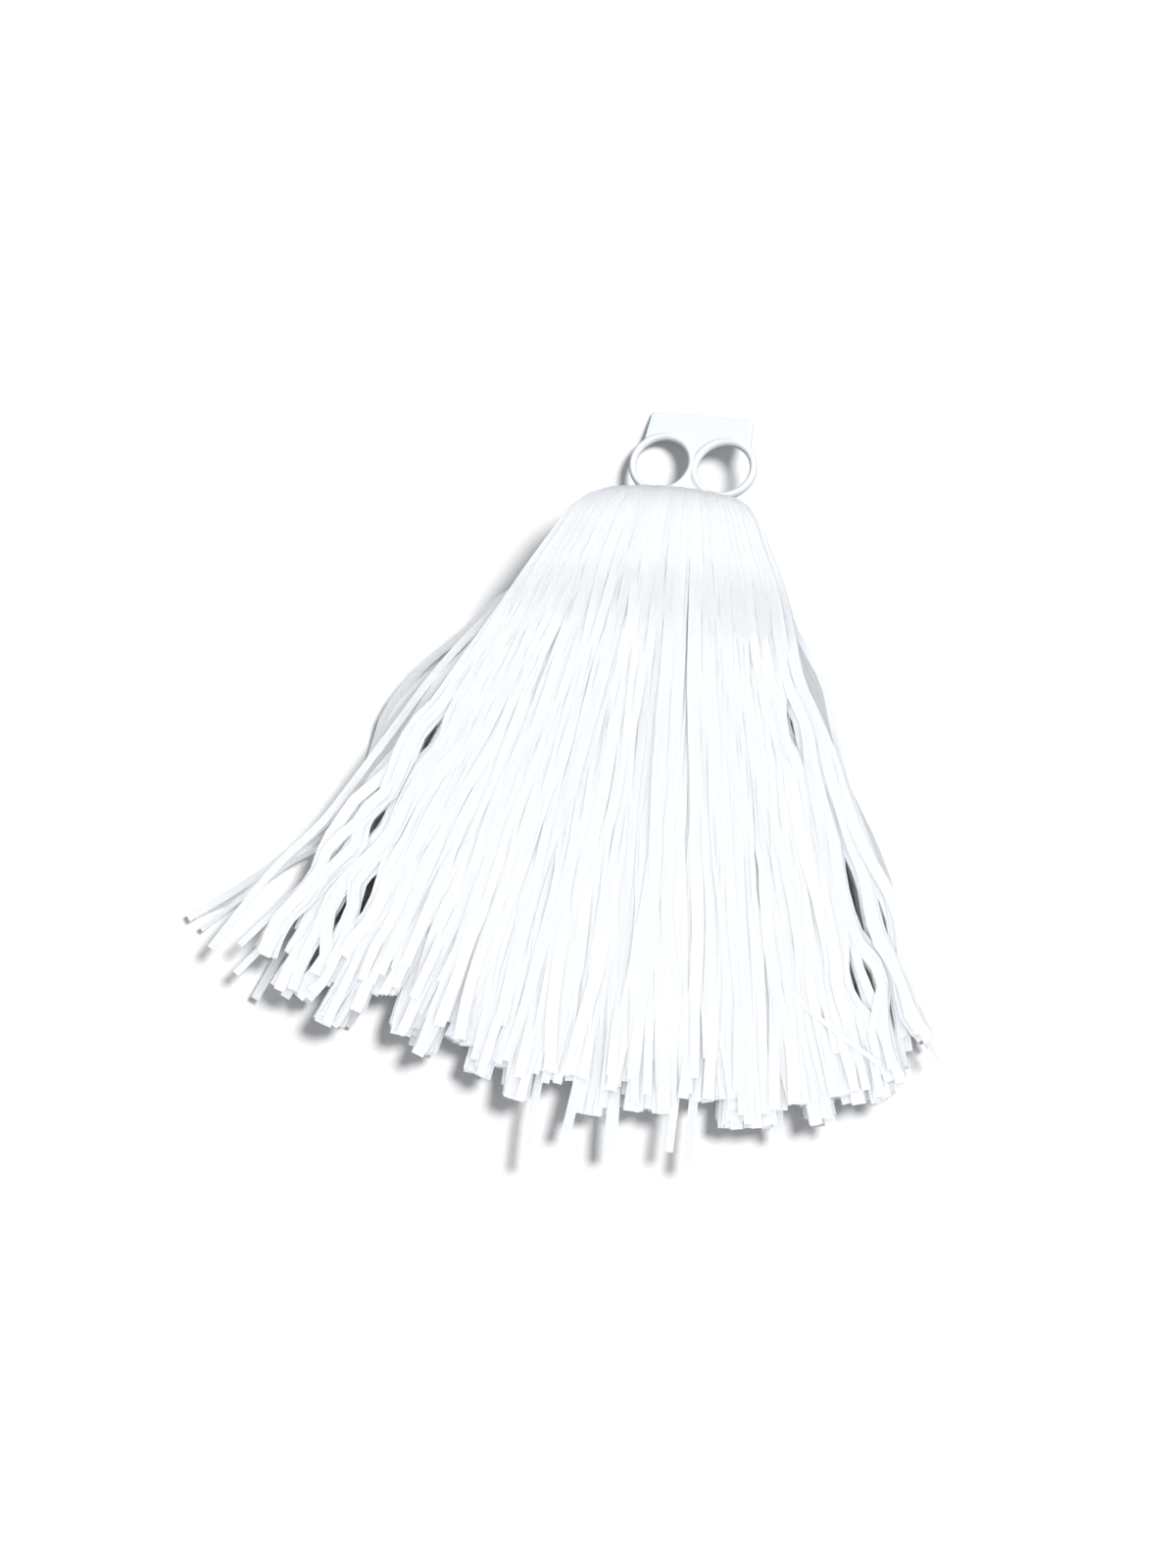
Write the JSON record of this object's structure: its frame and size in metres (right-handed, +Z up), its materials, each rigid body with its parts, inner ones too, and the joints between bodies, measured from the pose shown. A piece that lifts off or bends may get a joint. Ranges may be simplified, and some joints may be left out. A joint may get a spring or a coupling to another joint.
{
  "type": "tissue paper pom pom",
  "caption": "Cheer pom of white tissue strips folded back over their binding and spread in a fan, on a flat moulded handle with two finger rings.",
  "frame": {"origin": "centre of the bounding box at the level of the table that the pom pom lies on", "axes": "+Z up from the table, +Y from the tips of the strips towards the handle, +X to the right seen from above"},
  "size_m": [0.3718, 0.3678, 0.0552],
  "materials": {
    "moulded_handle": "satin white moulded polypropylene",
    "strap": "natural white nylon",
    "tissue": "uncoated white tissue paper, soft and slightly translucent"
  },
  "bodies": {
    "root": {"handle": "moulded_handle", "binding_strap": "strap", "tissue_sheet_01": "tissue", "tissue_sheet_02": "tissue", "tissue_sheet_03": "tissue", "tissue_sheet_04": "tissue", "tissue_sheet_05": "tissue", "tissue_sheet_06": "tissue", "tissue_sheet_07": "tissue", "tissue_sheet_08": "tissue", "tissue_sheet_09": "tissue", "tissue_sheet_10": "tissue", "tissue_sheet_11": "tissue", "tissue_sheet_12": "tissue", "tissue_sheet_13": "tissue", "tissue_sheet_14": "tissue", "tissue_sheet_15": "tissue", "tissue_sheet_16": "tissue"}
  },
  "joints": []
}
